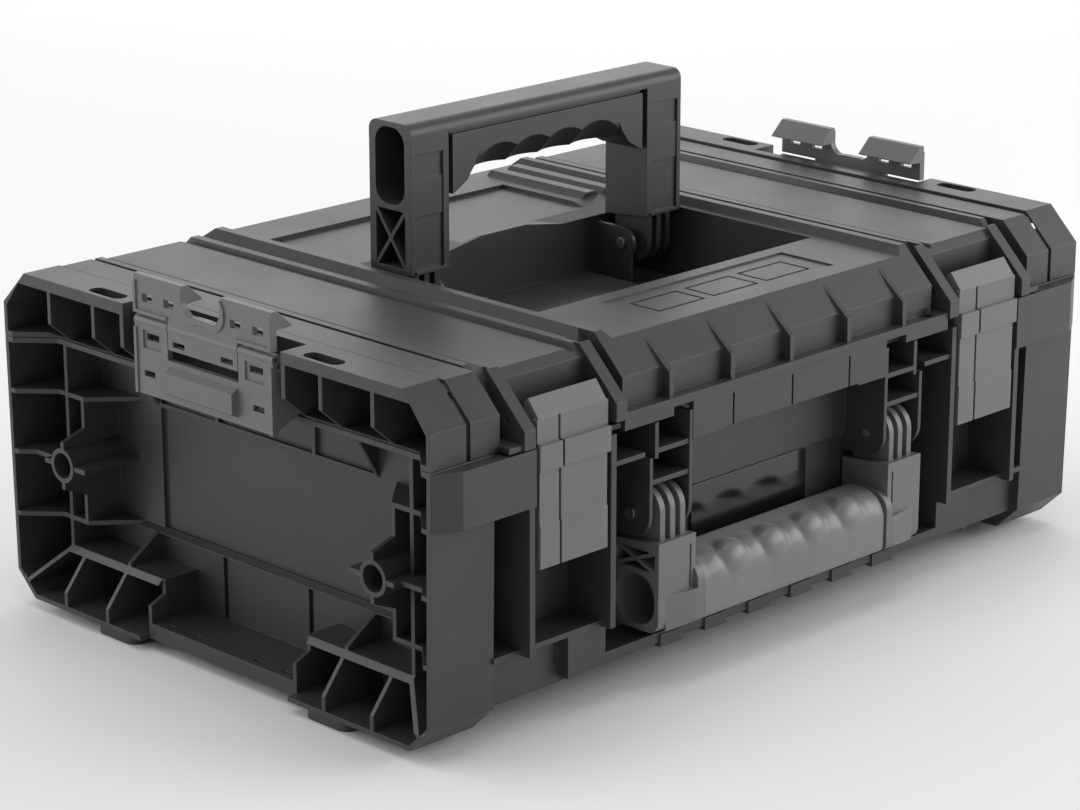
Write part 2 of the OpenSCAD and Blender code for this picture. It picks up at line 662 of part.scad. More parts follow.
module lid_cuts() {
    // Latch pockets
    both_x() block(latch_x - lug_gap / 2, latch_x + lug_gap / 2, -face_y - over, -pocket_y,
        lid_z - 2 * over, pocket_top);
    both_x() lid_setback(latch_x - lug_gap / 2, latch_x + lug_gap / 2, lid_z, set_line);
    // Deep slots between the lugs and the blocks beside them
    both_x() lid_setback(centre_block_x, latch_x - lug_gap / 2 - over, flange_top, slot_line);
    both_x() lid_setback(latch_x + lug_gap / 2 + over, block2_x, flange_top, slot_line);
    // Notch in the flange's front edge
    block(-37, -26.5, -flange_y - over, -flange_y + 2, flange_top - 2, flange_top + over);
    // Narrow groove beside the end blocks, down the chamfers and the faces
    both_x() along_x(end_block_x - 2.5, end_block_x) difference() {
        polygon(lid_cross(-over, lid_z - over, lid_top + 2 * over));
        polygon(lid_cross(edge_groove, lid_z - 2 * over, lid_top + 3 * over));
    }
    // Light panel behind the recess
    block(-95, 65, recess_back + wall, 103, mid_top - 2, lid_top + over);
    // Badge strip: a stepped border and three plain frames
    block(-60, 63, -119.5, -87, mid_top - 0.8, lid_top);
    for (x = [-51.3, -15, 21.3]) difference() {
        block(x, x + 31, -114.5, -95.5, mid_top - 1.6, lid_top);
        block(x + 1.5, x + 29.5, -113, -97, mid_top - 2, lid_top);
    }
    // Slots for the strap or the clips of a case on top
    both_x() both_y() translate([end_x - 6.2, foot_y, lid_top - 4])
        linear_extrude(4 + over) stadium(23, 8);
    // Padlock hole in the flange
    translate([100, -flange_y + 5, flange_z - over]) cylinder(h = 8, d = 7);
}

// A slot with round ends, long in Y
module stadium(l, w) {
    square([w, l - w], center = true);
    for (s = [-1, 1]) translate([0, s * (l - w) / 2]) circle(d = w);
}

module corrugation() {
    for (x = [78, 92]) along_y(40, 122) polygon([[x - 6, mid_top - 0.5], [x - 5, mid_top + 1],
        [x - 3, mid_top + 2.6], [x + 3, mid_top + 2.6], [x + 5, mid_top + 1], [x + 6, mid_top - 0.5]]);
}

module lid_shell() color(shell_colour) placed() {
    difference() {
        union() {
            difference() {
                lid_blank();
                lid_hollow();
                block(-end_x - over, end_x + over, -face_y - over, face_y + over,
                    lid_z - 3, lid_z);
                both_x() lid_end_cut();
                lid_cuts();
            }
            recess_box();
            lid_front();
            corrugation();
            both_x() along_x(hinge_x0 + hinge_arm + run_gap, hinge_x1 - hinge_arm - run_gap) {
                translate([hinge_y, hinge_z]) circle(hinge_r);
                polygon([[face_y - over, lid_z + 0.4], [hinge_y - hinge_r + 0.7, lid_z + 0.4],
                    [hinge_y, hinge_z + hinge_r], [face_y - over, hinge_z + 12]]);
            }
        }
        recess_cut();
        both_x() rod_x(hinge_x0, hinge_x1, hinge_y, hinge_z, hinge_pin_d + 2 * pin_fit);
        both_x() rod_x(latch_x - lug_gap / 2 - lug_t, latch_x + lug_gap / 2 + lug_t,
            latch_pivot_y, latch_pivot_z, latch_pin_d);
        translate([100, -flange_y + 5, flange_z - 2 * over]) cylinder(h = 8, d = 6.5);
    }
}

// ---------- latches ----------

module latch(side) {
    x0 = side * latch_x - latch_w / 2;
    back = -latch_face + 2;
    color(trim_colour) placed() difference() {
        union() {
            along_x(x0, x0 + latch_w) {
                polygon([[-face_y + 1, base_h + 19.6], [-latch_face - 1, base_h + 11.5],
                    [-latch_face - 1, base_h + 0.6], [-latch_face - 3, base_h], [-latch_face - 3, base_h - 11.5],
                    [-latch_face - 1.5, base_h - 12], [-latch_face - 1.5, base_h - 35.6],
                    [-latch_face - 2, base_h - 36], [-latch_face - 2, base_h - 55.1],
                    [back, base_h - 55.1], [back, base_h + 5], [latch_pivot_y, base_h + 7.5],
                    [latch_pivot_y + 1, base_h + 17]]);
                translate([latch_pivot_y, latch_pivot_z]) circle(3.6);
            }
            for (b = [[11.5, 0.6, -1], [0, -11.5, -3]]) along_x(x0 - 1, x0 + latch_w + 1)
                polygon([[-latch_face + b[2], base_h + b[0]], [back, base_h + b[0]],
                    [back, base_h + b[1]], [-latch_face + b[2], base_h + b[1]]]);
            // Side flanges
            for (x = [x0, x0 + latch_w - 2]) block(x, x + 2, back - over, back + 3.5,
                base_h - 55.1, base_h + 4);
            // Tooth
            block(side * latch_x - 15, side * latch_x + 15, back - over, catch_y - run_gap + 0.2,
                catch_z - catch_h - 3.5, catch_z - catch_h - 0.3);
        }
        rod_x(x0 - 2, x0 + latch_w + 2, latch_pivot_y, latch_pivot_z,
            latch_pin_d + 2 * pin_fit);
        // Upright groove near the left edge, with a small jog at the raised band
        block(x0 + 11.6, x0 + 13, -latch_face - 4, -latch_face + 0.2, base_h - 56, base_h - 11.5);
        block(x0 + 12.4, x0 + 13.8, -latch_face - 4, -latch_face + 0.2, base_h - 12, base_h + 0.3);
        block(x0 + 11.6, x0 + 13, -latch_face - 4, -latch_face + 0.2, base_h, base_h + 11.5);
    }
}

module latch_pin(side) color(pin_colour) placed()
    rod_x(side * latch_x - lug_gap / 2 - lug_t + 0.5, side * latch_x + lug_gap / 2 + lug_t - 0.5,
        latch_pivot_y, latch_pivot_z, latch_pin_d);

// ---------- handles ----------

// One handle, drawn upright with its pivot at the origin: reach is up +Z, t is along Y
// foot is where the legs' solid part starts, above the pivot, skin is the bar's cover and
// rim is the wall round the hollow ends, whose tunnel has corners of radius r
module handle(reach, foot, tunnel, shift, corner, skin, rim, r) {
    x1 = handle_l / 2;
    x0 = x1 - leg_w;
    y0 = shift - handle_t / 2;
    y1 = shift + handle_t / 2;
    difference() {
        union() {
            both_x() along_x(x0, x1) {
                round_rect(y0, y1, reach - 3 * corner, reach, corner);
                polygon([[y0, foot + 2.5], [y1, foot], [y1, reach - 2 * corner],
                    [y0, reach - 2 * corner]]);
            }
            // The core that the grip goes round, and the bar's cover
            along_x(-x0 - over, x0 + over) {
                rect(shift - core_half, shift + core_half, reach - core_top - 2 * core_half,
                    reach - core_top);
                if (skin > 0) {
                    intersection() {
                        round_rect(y0, y1, reach - 3 * corner, reach, corner);
                        rect(y0, y1, reach - skin, reach);
                    }
                    rect(shift - core_half, shift + core_half, reach - core_top - over,
                        reach - skin + over);
                }
            }
            // Three fins at each pivot
            both_x() for (i = [0:2]) fin(x0 + fin_x + fin_pitch * i, foot);
        }
        // Hollow ends: a rounded tunnel, and pockets between crossed braces
        both_x() {
            along_x(x0 + wall, x1 + over)
                round_rect(y0 + rim, y1 - rim, reach - tunnel, reach - wall, r);
            brace_pockets(x0 + wall, x1 + over, y0 + rim, y1 - rim, foot + 5,
                reach - tunnel - wall);
        }
        both_x() rod_x(x0 - over, x1 + over, 0, 0, handle_pin_d + 2 * pin_fit);
    }
}

// Four triangular pockets that leave an X of braces between them
module brace_pockets(x0, x1, y0, y1, z0, z1) {
    slope = (z1 - z0) / (y1 - y0);
    gy = brace_t / 2 * sqrt(1 + 1 / pow(slope, 2));
    gz = brace_t / 2 * sqrt(1 + pow(slope, 2));
    ym = (y0 + y1) / 2;
    zm = (z0 + z1) / 2;
    along_x(x0, x1) {
        polygon([[y0 + gy, z0], [y1 - gy, z0], [ym, zm - gz]]);
        polygon([[y0 + gy, z1], [y1 - gy, z1], [ym, zm + gz]]);
        polygon([[y0, z0 + gz], [y0, z1 - gz], [ym - gy, zm]]);
        polygon([[y1, z0 + gz], [y1, z1 - gz], [ym + gy, zm]]);
    }
}

module fin(x, foot) along_x(x, x + fin_t) {
    circle(knuckle_r);
    rect(-knuckle_r, knuckle_r, 0, foot + 6);
}

// Slot in a grip for the handle's core
module core_slot(reach, shift) along_x(-handle_l, handle_l)
    rect(shift - core_half - same_body_gap, shift + core_half + same_body_gap,
        reach - core_top - 2 * core_half - same_body_gap, reach - core_top + same_body_gap);

module top_handle() color(shell_colour) placed() translate([0, top_pivot_y, top_pivot_z]) {
    x0 = handle_l / 2 - leg_w + 3.5;
    x1 = handle_l / 2 - 2.4;
    face = 0.3 - handle_t / 2;
    difference() {
        handle(top_handle_h, 12.5, 39, 0.3, 5, top_skin, top_rim, 8);
        // Stepped panels in the legs' front faces
        both_x() {
            block(x0, x1, face - over, face + 1.2, 60, 71.5);
            block(x0, x1, face - over, face + 0.6, 41, 61);
            block(x0, x1, face - over, face + 1.2, 16.8, 42);
        }
    }
    // Ledge at each leg's foot
    both_x() block(x0 - 1, x1, face - 0.8, face + over, 15.2, 16.8);
}

module top_handle_grip() color("#4a4a49") placed() translate([0, top_pivot_y, top_pivot_z]) {
    y0 = 0.3 - handle_t / 2 + grip_inset;
    y1 = 0.3 + handle_t / 2 - grip_inset;
    top = top_handle_h - top_skin - same_body_gap;
    low = top_handle_h - insert_low;
    horn = top_handle_h - horn_low;
    // Offset of a finger hollow's axis from the corner of the section
    reach = (finger_r - finger_depth) / sqrt(2) - grip_round * (1 - 1 / sqrt(2));
    difference() {
        union() {
            along_x(-insert_half, insert_half) {
                round_rect(y0, y1, low, top - 3, grip_round - over);
                rect(y0, y1, low + grip_round, top - 1.5);
                // Its top edge stands back, as a dark line under the bar
                rect(y0 + 2, y1 - 2, top - 3, top);
            }
            // Horns that run down along the legs
            both_x() along_y(y0, y1) polygon([[insert_half, low + grip_round], [insert_half, horn],
                [insert_half - 3, horn + 1.5], [insert_half - 9, horn + 5],
                [insert_half - 12.7, low], [insert_half - 17, low + grip_round]]);
        }
        core_slot(top_handle_h, 0.3);
        along_x(-handle_l, handle_l) rect(0.3 - core_half - same_body_gap,
            0.3 + core_half + same_body_gap, top_handle_h - core_top - over, top_handle_h);
        // Finger hollows across the lower front edge
        for (i = [-1.5:1:1.5]) translate([i * finger_pitch, y0 - reach, low - reach])
            rotate([45, 0, 0]) cylinder(h = 60, r = finger_r, center = true);
    }
}

// A pin from x0 to x1 with its head at x0
module handle_pin(x0, x1, y, z) {
    head = x1 > x0 ? -1.4 : 1.4;
    rod_x(min(x0, x1), max(x0, x1), y, z, handle_pin_d);
    rod_x(min(x0, x0 + head), max(x0, x0 + head), y, z, handle_pin_d + 1.6);
}

module top_handle_pin(side) color(pin_colour) placed() {
    x0 = handle_l / 2 - leg_w - handle_gap - plate_t;
    mirror([side < 0 ? 1 : 0, 0, 0]) handle_pin(x0, recess_x + 1.2, top_pivot_y, top_pivot_z);
}

// Section of the front grip, drawn in by i
module grip_section(i) {
    y0 = -handle_t / 2 + 0.8;
    y1 = handle_t / 2 + grip_proud;
    z0 = front_handle_h - 29.5;
    z1 = front_handle_h - 0.5;
    round_rect(y0 + i, y1 - i, z0 + i, z1 - i, 9);
    round_rect(0, y1 - i, z0 + 10, z1 - i, 3);
}

module front_handle() color(trim_colour) placed()
    translate([0, front_pivot_y, front_pivot_z]) rotate([180, 0, 0]) {
        x0 = handle_l / 2 - leg_w;
        x1 = handle_l / 2;
        face = handle_t / 2;
        difference() {
            handle(front_handle_h, 12.5, 26, 0, 6, 0, wall, 10);
            // Groove that sets off the rib at the leg's inner edge
            both_x() block(x0 + 2.8, x0 + 3.9, face - 1, face + over, 17, 37);
        }
        // Collar beside the grip, and the swelling that runs into it
        both_x() along_x(x0 - collar_t + same_body_gap, x0 + over) grip_section(0.4);
        both_x() intersection() {
            along_x(x0, x1) grip_section(0.4);
            translate([0, 0, 38]) linear_extrude(front_handle_h) polygon([[x0, face - over],
                [x0, face + grip_proud], [x1 - 5, face], [x1 - 5, face - over]]);
        }
    }

module front_handle_grip() color("#666665") placed()
    translate([0, front_pivot_y, front_pivot_z]) rotate([180, 0, 0]) {
        half = handle_l / 2 - leg_w - collar_t;
        difference() {
            union() {
                along_x(-half, half) grip_section(0);
                // Domes along the upper front edge
                for (i = [-1.5:1:1.5]) translate([i * dome_pitch,
                    handle_t / 2 + grip_proud - 0.3 - dome_r, front_handle_h - 31.9 + dome_r])
                    sphere(dome_r);
            }
            core_slot(front_handle_h, 0);
        }
    }

module front_handle_pin(side) color(pin_colour) placed()
    mirror([side < 0 ? 1 : 0, 0, 0]) handle_pin(handle_l / 2 + handle_gap + plate_t,
        centre_x, front_pivot_y, front_pivot_z);

module hinge_pin(side) color(pin_colour) placed() mirror([side < 0 ? 1 : 0, 0, 0])
    rod_x(hinge_x0 + 0.5, hinge_x1 - 0.5, hinge_y, hinge_z, hinge_pin_d);

// ---------- stacking clips ----------

// Plate that stays on the lid's end, drawn for the right end
module clip_plate(side) {
    half = clip_w / 2;
    x0 = end_x - clip_t;
    color(trim_colour) placed() mirror([side < 0 ? 1 : 0, 0, 0]) difference() {
        union() {
            block(x0, end_x, -half, half, base_h - 6, base_h + 13);
            both_y() block(x0, end_x, clip_mid + run_gap, half, base_h + 12, clip_axis_z);
            both_y() translate([clip_axis_x, clip_mid + run_gap, clip_axis_z])
                rotate([-90, 0, 0]) cylinder(h = half - clip_mid - run_gap, r = clip_r);
            // Raised tab with bevelled edges
            translate([0, 23, 0]) rotate([90, 0, 0]) linear_extrude(46) polygon([[end_x - over,
                base_h - 3.5], [end_x + 3.5, base_h - 1], [end_x + 3.5, base_h + 8],
                [end_x - over, base_h + 11.5]]);
            // Gussets that stand the plate off the pocket, and its raised side edges
            both_y() along_y(half - 3, half) polygon([[clip_pocket_x + part_gap, base_h + 1],
                [end_x - over, base_h - 5], [end_x - over, base_h + 22],
                [clip_pocket_x + part_gap, base_h + 22]]);
            both_y() block(end_x - over, end_x + 0.8, half - 1.8, half, base_h - 6, clip_axis_z - 3);
        }
        both_y() translate([clip_axis_x, clip_mid, clip_axis_z])
            rotate([-90, 0, 0]) cylinder(h = half, d = clip_pin_d);
        // Windows, the upper one in a shallow recess
        both_y() block(end_x - 0.8, end_x + over, 28.3, 41, base_h + 15.5, base_h + 24);
        both_y() block(x0 - over, end_x + over, 30.6, 39.4, base_h + 19.3, base_h + 22.5);
        both_y() block(x0 - over, end_x + over, 33.3, 40.7, base_h + 2.5, base_h + 5.3);
    }
}

// Flap with its two inward hooks, drawn for the right end
module stack_clip(side) {
    half = clip_w / 2 - 0.2;
    x0 = end_x - clip_t;
    top = clip_axis_z + 21.5;
    color(trim_colour) placed() mirror([side < 0 ? 1 : 0, 0, 0]) difference() {
        union() {
            block(x0, end_x, -half, half, clip_axis_z + 3.8, top - 3);
            block(x0, end_x, -clip_mid, clip_mid, clip_axis_z - 9.5, clip_axis_z + 4.8);
            translate([clip_axis_x, clip_mid, clip_axis_z]) rotate([90, 0, 0])
                cylinder(h = 2 * clip_mid, r = clip_r);
            // Hooks: a wedge that slopes down inwards
            for (s = [0, 1]) mirror([0, s, 0]) translate([0, half, 0]) rotate([90, 0, 0])
                linear_extrude(half - 13) polygon([[end_x, top - 4], [end_x, top], [x0 - 0.5, top],
                    [x0 - 8.6, top - 7.4], [x0 - 8.6, top - 8], [x0, top - 8.4]]);
            // Raised borders round the U and along the outer edges
            along_x(end_x - over, end_x + 0.8)
                round_rect(-15.6, 15.6, clip_axis_z + 6.2, top - 0.5, 8);
            both_y() block(end_x - over, end_x + 0.8, half - 1.8, half, clip_axis_z + 3.8, top - 3);
            both_y() block(end_x - over, end_x + 0.8, clip_mid, half, clip_axis_z + 3.8,
                clip_axis_z + 5.4);
        }
        translate([clip_axis_x, clip_mid + over, clip_axis_z]) rotate([90, 0, 0])
            cylinder(h = 2 * clip_mid + 2 * over, d = clip_pin_d + 2 * pin_fit);
        // U cut between the hooks
        along_x(x0 - 10, end_x + over) {
            rect(-13, 13, clip_axis_z + 14.8, top + over);
            round_rect(-13, 13, clip_axis_z + 8.8, top - 1, 6);
        }
        both_y() for (y = [22.5, 37.4]) block(x0 - over, end_x + over, y - 3.5, y + 3.5,
            clip_axis_z + 9.4, clip_axis_z + 13.1);
        both_y() block(x0 - over, end_x + over, 12.2, 20.4, clip_axis_z - 7.7, clip_axis_z - 5.1);
        // Hollows in the hooks
        both_y() for (y = [16, 27, 38]) block(x0 - 4.5, x0 - 1.2, y, y + 6, top - 10, top - 5.5);
    }
}

module clip_pin(side) color(pin_colour) placed() mirror([side < 0 ? 1 : 0, 0, 0])
    translate([clip_axis_x, clip_w / 2 - 0.5, clip_axis_z]) rotate([90, 0, 0])
        cylinder(h = clip_w - 1, d = clip_pin_d);

base_shell();
lid_shell();
label_plate();
latch(-1);  // latch_left
latch(1);  // latch_right
latch_pin(-1);  // latch_pin_left
latch_pin(1);  // latch_pin_right
top_handle();
top_handle_grip();
top_handle_pin(-1);  // top_handle_pin_left
top_handle_pin(1);  // top_handle_pin_right
front_handle();
front_handle_grip();
front_handle_pin(-1);  // front_handle_pin_left
front_handle_pin(1);  // front_handle_pin_right
hinge_pin(-1);  // hinge_pin_left
hinge_pin(1);  // hinge_pin_right
clip_plate(-1);  // clip_plate_left
clip_plate(1);  // clip_plate_right
stack_clip(-1);  // stack_clip_left
stack_clip(1);  // stack_clip_right
clip_pin(-1);  // clip_pin_left
clip_pin(1);  // clip_pin_right
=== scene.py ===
"""Looks of the hard tool case: finishes for its mouldings, the shaped front grip and a plain studio."""
import math

import bmesh
import bpy
from mathutils import Matrix, Vector


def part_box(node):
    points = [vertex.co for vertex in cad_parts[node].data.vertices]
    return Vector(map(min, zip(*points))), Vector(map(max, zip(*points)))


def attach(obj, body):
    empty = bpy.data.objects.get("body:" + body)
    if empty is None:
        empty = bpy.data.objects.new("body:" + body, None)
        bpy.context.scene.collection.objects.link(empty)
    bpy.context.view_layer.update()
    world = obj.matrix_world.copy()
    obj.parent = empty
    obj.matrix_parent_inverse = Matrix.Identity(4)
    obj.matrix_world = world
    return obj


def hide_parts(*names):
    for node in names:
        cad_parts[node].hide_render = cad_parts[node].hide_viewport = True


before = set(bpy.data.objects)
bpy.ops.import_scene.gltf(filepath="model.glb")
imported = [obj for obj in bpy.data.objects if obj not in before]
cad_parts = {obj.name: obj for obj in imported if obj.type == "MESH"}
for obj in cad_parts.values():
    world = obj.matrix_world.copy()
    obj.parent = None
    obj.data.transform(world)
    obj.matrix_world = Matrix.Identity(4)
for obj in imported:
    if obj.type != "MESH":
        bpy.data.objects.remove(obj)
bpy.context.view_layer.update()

bl_info = {
    "name": "Hard Tool Case",
    "version": (1, 0, 0),
    "blender": (4, 5, 0),
    "location": "View3D > Sidebar > Tool Case",
    "description": "Dresses a hinged, stackable tool case and sets a plain studio round it",
    "category": "Object",
}

# Depth of every material's grain and scores
BUMP_DEPTH = 0.0002


# ---------- shader maths ----------

class Number:
    """A number that a node gives. Sums and products of it add their own Math nodes."""

    def __init__(self, tree, socket):
        self.tree = tree
        self.socket = socket

    def math(self, operation, *values, clamp=False):
        node = self.tree.nodes.new("ShaderNodeMath")
        node.operation = operation
        node.use_clamp = clamp
        for entry, value in zip(node.inputs, values):
            connect(self.tree, entry, value)
        return Number(self.tree, node.outputs[0])

    def __add__(self, other):
        return self.math("ADD", self, other)

    def __sub__(self, other):
        return self.math("SUBTRACT", self, other)

    def __rsub__(self, other):
        return self.math("SUBTRACT", other, self)

    def __mul__(self, other):
        return self.math("MULTIPLY", self, other)

    __radd__ = __add__
    __rmul__ = __mul__

    def clamped(self):
        """Held between 0 and 1."""
        return self.math("ADD", self, 0.0, clamp=True)

    def step(self, low, high):
        """0 below low, 1 above high, and smooth in between."""
        share = self.math("DIVIDE", self - low, high - low, clamp=True)
        return share * share * (3.0 - 2.0 * share)


def connect(tree, entry, value):
    """Gives a socket a link or a value."""
    if isinstance(value, Number):
        value = value.socket
    if isinstance(value, bpy.types.NodeSocket):
        tree.links.new(value, entry)
    else:
        entry.default_value = value


def add_node(tree, kind, settings=None, sockets=None):
    """One node: its settings come first, then the values or links of its sockets, by name or number."""
    node = tree.nodes.new(kind)
    for name, value in (settings or {}).items():
        setattr(node, name, value)
    for name, value in (sockets or {}).items():
        connect(tree, node.inputs[name], value)
    return node


class Finish:
    """A material under construction, with its Principled shader and Object coordinates."""

    def __init__(self, name, roughness, **constants):
        self.material = bpy.data.materials.new(name)
        self.material.use_nodes = True
        self.tree = self.material.node_tree
        self.tree.nodes.clear()
        self.shader = self.add("ShaderNodeBsdfPrincipled", sockets={"Roughness": roughness})
        for socket, value in constants.items():
            self.shader.inputs[socket.replace("_", " ").title().replace("Ior", "IOR")].default_value = value
        output = self.add("ShaderNodeOutputMaterial")
        self.tree.links.new(self.shader.outputs[0], output.inputs[0])
        self.place = self.add("ShaderNodeTexCoord").outputs["Object"]

    def add(self, kind, settings=None, sockets=None):
        return add_node(self.tree, kind, settings, sockets)

    def number(self, socket):
        return Number(self.tree, socket)

    def stretched(self, scale):
        """The Object coordinates, multiplied axis by axis."""
        node = self.add("ShaderNodeVectorMath", {"operation": "MULTIPLY"}, {0: self.place, 1: scale})
        return node.outputs[0]

    def noise(self, per_metre, detail=2.0, rough=0.5, scale=(1, 1, 1)):
        node = self.add("ShaderNodeTexNoise", None, {
            "Vector": self.stretched(scale), "Scale": per_metre, "Detail": detail, "Roughness": rough})
        return self.number(node.outputs["Fac"])

    def cells(self, per_metre):
        node = self.add("ShaderNodeTexVoronoi", {"feature": "F1"}, {
            "Vector": self.place, "Scale": per_metre})
        return self.number(node.outputs["Distance"])

    def mix(self, share, first, second):
        """A colour between two colours."""
        node = self.add("ShaderNodeMix", {"data_type": "RGBA"}, {0: share, 6: first, 7: second})
        return node.outputs[2]

    def rounded(self, radius):
        """The surface normal, softened across edges as a moulded radius would be."""
        return self.add("ShaderNodeBevel", {"samples": 6}, {"Radius": radius}).outputs[0]

    def edge_share(self, radius):
        """1 on an outer edge or corner, 0 on a flat face."""
        flat = self.add("ShaderNodeNewGeometry").outputs["True Normal"]
        dot = self.add("ShaderNodeVectorMath", {"operation": "DOT_PRODUCT"},
            {0: self.rounded(radius), 1: flat})
        return (1.0 - self.number(dot.outputs["Value"])).step(0.01, 0.16)

    def finish(self, colour, roughness, height, strength, soften):
        """Connects what varies and returns the material."""
        connect(self.tree, self.shader.inputs["Base Color"], colour)
        connect(self.tree, self.shader.inputs["Roughness"], roughness.clamped())
        bump = self.add("ShaderNodeBump", None, {
            "Normal": self.rounded(soften), "Strength": strength, "Height": height, "Distance": BUMP_DEPTH})
        self.tree.links.new(bump.outputs[0], self.shader.inputs["Normal"])
        return self.material


def rgba(colour, factor=1.0):
    """A colour made lighter or darker, with the fourth number that a socket wants."""
    return (*[c * factor for c in colour[:3]], 1.0)


# ---------- settings ----------

def colour_property(name, description, default):
    return bpy.props.FloatVectorProperty(name=name, description=description, default=default,
        subtype="COLOR", size=3, min=0.0, max=1.0)


def length_property(name, description, default):
    return bpy.props.FloatProperty(name=name, description=description, default=default,
        subtype="DISTANCE", unit="LENGTH", min=0.0)


class CaseFinishes(bpy.types.PropertyGroup):
    """Colours and surface detail of the mouldings."""
    shell_colour: colour_property("Case", "Colour of the base and lid", (0.034, 0.035, 0.037))
    handle_colour: colour_property("Top handle", "Colour of the top handle", (0.040, 0.041, 0.043))
    trim_colour: colour_property("Trim", "Colour of the latches, clips and front handle",
        (0.128, 0.130, 0.130))
    grip_colour: colour_property("Front grip", "Colour of the front handle's soft grip",
        (0.168, 0.169, 0.163))
    plate_colour: colour_property("Plate", "Colour of the glossy plate on the front", (0.006, 0.006, 0.007))
    steel_colour: colour_property("Pins", "Colour of the steel pins", (0.50, 0.50, 0.51))
    grain_size: length_property("Grain", "Width of one dimple of the moulded grain", 0.0006)
    edge_radius: length_property("Edge radius", "Moulded radius that softens every edge", 0.0004)
    dome_pitch: length_property("Dome pitch", "Distance between the front grip's finger domes", 0.0268)
    dome_height: length_property("Dome height", "How far each dome stands out of the grip", 0.0042)


class StudioSettings(bpy.types.PropertyGroup):
    """Floor, lights and camera."""
    floor_colour: colour_property("Floor", "Colour of the floor and backdrop", (0.86, 0.86, 0.86))
    box_brightness: bpy.props.FloatProperty(name="Soft boxes", description="Brightness of the soft boxes",
        default=1.22, min=0.0)
    sky_strength: bpy.props.FloatProperty(name="Sky", description="Strength of the even light all round",
        default=0.42)
    lens: bpy.props.FloatProperty(name="Lens", description="Focal length on a 36 mm wide sensor",
        default=113.6, subtype="DISTANCE_CAMERA")


def finishes():
    return bpy.context.scene.case_finishes


# ---------- materials ----------

DUST = (0.25, 0.25, 0.25)


def moulded_plastic(name, colour, roughness, grain, blotch=0.10, highlight_and_polish=0.5):
    """Spark-eroded moulded plastic: fine grain, faint flow marks, dust, and edges lightened by a painted
    highlight and made glossier.
    """
    settings = finishes()
    made = Finish(name, roughness, specular_ior_level=0.5)
    dimples = made.cells(1.0 / grain)
    fine = made.noise(0.45 / grain, detail=3.0, rough=0.6)
    flow = made.noise(9.0, scale=(1.0, 1.0, 2.2))
    cloud = made.noise(38.0, detail=3.0, rough=0.55)
    specks = made.noise(520.0).step(0.66, 0.74)
    edge_patches = made.noise(70.0, detail=3.0, rough=0.6).step(0.35, 0.6)
    # Edge mask in uneven patches. In the base colour it paints a highlight, as if the moulded radius caught
    # the light. In the roughness it makes the edges glossier.
    edge = made.edge_share(settings.edge_radius * 1.6) * (0.35 + 0.65 * edge_patches)
    tone = (flow * 0.6 + cloud * 0.4).step(0.3, 0.7)
    body = made.mix(tone, rgba(colour, 1.0 - blotch), rgba(colour, 1.0 + blotch))
    dusty = made.mix(specks * 0.10, body, rgba(DUST))
    # Painted highlight: the colour is mixed towards a lighter copy of the plastic on the edges.
    colour_with_painted_highlight = made.mix(edge * (0.30 * highlight_and_polish), dusty, rgba(colour, 2.3))
    rough = roughness + (cloud - 0.5) * 0.10 + (flow - 0.5) * 0.08 - edge * (0.12 * highlight_and_polish) + specks * 0.15
    return made.finish(colour_with_painted_highlight, rough, height=dimples * 0.65 + fine * 0.5, strength=0.16,
        soften=settings.edge_radius)


def gloss_plate():
    """Polished black plastic with hairline marks."""
    made = Finish("gloss_plate", 0.08, specular_ior_level=0.5, coat_weight=0.4, coat_roughness=0.04)
    smear = made.noise(30.0, detail=3.0, rough=0.55, scale=(1.0, 1.0, 2.5))
    hair = made.noise(900.0, detail=1.0, rough=0.4, scale=(0.06, 1.0, 1.0)).step(0.62, 0.8)
    colour = made.mix(smear, rgba(finishes().plate_colour), rgba(finishes().plate_colour, 1.6))
    return made.finish(colour, 0.06 + smear * 0.10 + hair * 0.08, height=smear, strength=0.02,
        soften=finishes().edge_radius)


def pin_steel():
    """Drawn steel wire, faintly scored along its length."""
    made = Finish("pin_steel", 0.32, metallic=1.0)
    score = made.noise(2600.0, scale=(0.02, 1.0, 1.0))
    cloud = made.noise(160.0)
    colour = made.mix(cloud, rgba(finishes().steel_colour, 0.82), rgba(finishes().steel_colour, 1.1))
    return made.finish(colour, 0.24 + score * 0.22, height=score, strength=0.12,
        soften=finishes().edge_radius)


def soft_grip():
    """Smooth soft rubber with a faint skin texture."""
    made = Finish("soft_grip", 0.38, specular_ior_level=0.45, sheen_weight=0.06, sheen_roughness=0.5)
    skin = made.noise(1500.0, detail=3.0, rough=0.6)
    cloud = made.noise(34.0, detail=3.0)
    colour = made.mix(cloud, rgba(finishes().grip_colour, 0.9), rgba(finishes().grip_colour, 1.1))
    return made.finish(colour, 0.34 + (cloud - 0.5) * 0.14 + (skin - 0.5) * 0.08, height=skin,
        strength=0.10, soften=finishes().edge_radius)


def dress(names, material):
    """Puts one material on CAD nodes, whose shape stays as it is."""
    for name in names:
        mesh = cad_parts[name].data
        mesh.materials.clear()
        mesh.materials.append(material)


# ---------- front grip ----------

NOSE_RADIUS = 0.0125  # upper front edge, where the domes stand
FOOT_RADIUS = 0.0035  # lower front edge
BACK_RADIUS = 0.009
FACE_BACK = 0.0012  # the face's place behind the domes' fronts
RING_STEP = 0.0011  # along the bar
CORNER_STEPS = 14
DOMES = 4
DOME_REACH = 0.0088
DOME_FULLNESS = 0.62
PAD_HEIGHT = 0.0011
PAD_HALF_LENGTH = 0.0062
PAD_REACH = 0.0105
PAD_FULLNESS = 1.2
END_LENGTH = 0.0012  # of the rounding at each end
END_DEPTH = 0.0008


